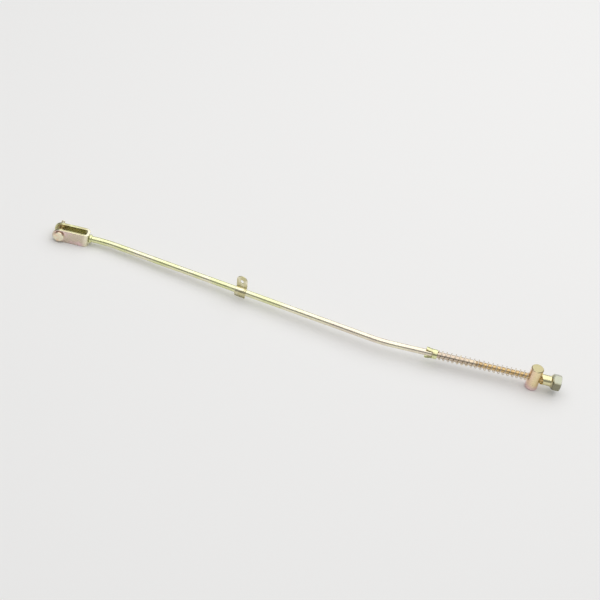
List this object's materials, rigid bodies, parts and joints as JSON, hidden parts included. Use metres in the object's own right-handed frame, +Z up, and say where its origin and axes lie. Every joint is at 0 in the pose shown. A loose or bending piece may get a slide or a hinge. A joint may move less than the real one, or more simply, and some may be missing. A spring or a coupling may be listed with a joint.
{
  "type": "rear drum brake rod",
  "caption": "Bent steel brake rod with a swivelling fork and headed pin at one end, a switch tab half way, and a spring, cross-drilled barrel and saddle-nosed adjusting nut at the threaded end.",
  "frame": {"origin": "under the middle of the part's box, on the surface that it lies on", "axes": "+X along the rod's two straight ends, from the fork towards the adjusting nut; +Z up, along the barrel"},
  "size_m": [0.4954, 0.0738, 0.0248],
  "materials": {
    "yellow_zinc_rod": "yellow zinc plating, satin",
    "olive_zinc_sheet": "yellow zinc plating over pressed sheet, satin",
    "pink_zinc_turned": "yellow zinc plating with a pink cast, satin",
    "pale_zinc_wire": "pale yellow zinc plating, satin",
    "green_zinc_nut": "yellow zinc plating with a green cast, satin"
  },
  "bodies": {
    "rod": {"rod": "yellow_zinc_rod", "switch_tab": "olive_zinc_sheet", "spring_seat": "yellow_zinc_rod"},
    "fork": {"fork": "olive_zinc_sheet"},
    "fork_pin": {"fork_pin": "pink_zinc_turned", "split_pin": "pale_zinc_wire"},
    "spring": {"spring": "pale_zinc_wire"},
    "barrel": {"barrel": "pink_zinc_turned"},
    "adjusting_nut": {"adjusting_nut": "green_zinc_nut"}
  },
  "joints": [
    {"name": "fork_swivel", "type": "hinge", "parent": "rod", "child": "fork", "pos_m": [-0.21475, 0.02581, 0.0065], "axis": [1, 0, 0], "continuous": true},
    {"name": "pin_turn", "type": "hinge", "parent": "fork", "child": "fork_pin", "pos_m": [-0.24125, 0.02581, 0.0065], "axis": [0, 1, 0], "continuous": true},
    {"name": "spring_compress", "type": "slide", "parent": "rod", "child": "spring", "axis": [-1, 0, 0], "range_m": [0, 0.05], "stiffness_N_per_m": 940, "springref_m": -0.01, "deforming": ["spring"]},
    {"name": "barrel_turn", "type": "hinge", "parent": "spring", "child": "barrel", "pos_m": [0.22285, -0.02991, 0.012], "axis": [1, 0, 0], "continuous": true},
    {"name": "nut_turn", "type": "hinge", "parent": "rod", "child": "adjusting_nut", "pos_m": [0.24, -0.02991, 0.012], "axis": [1, 0, 0], "continuous": true}
  ]
}
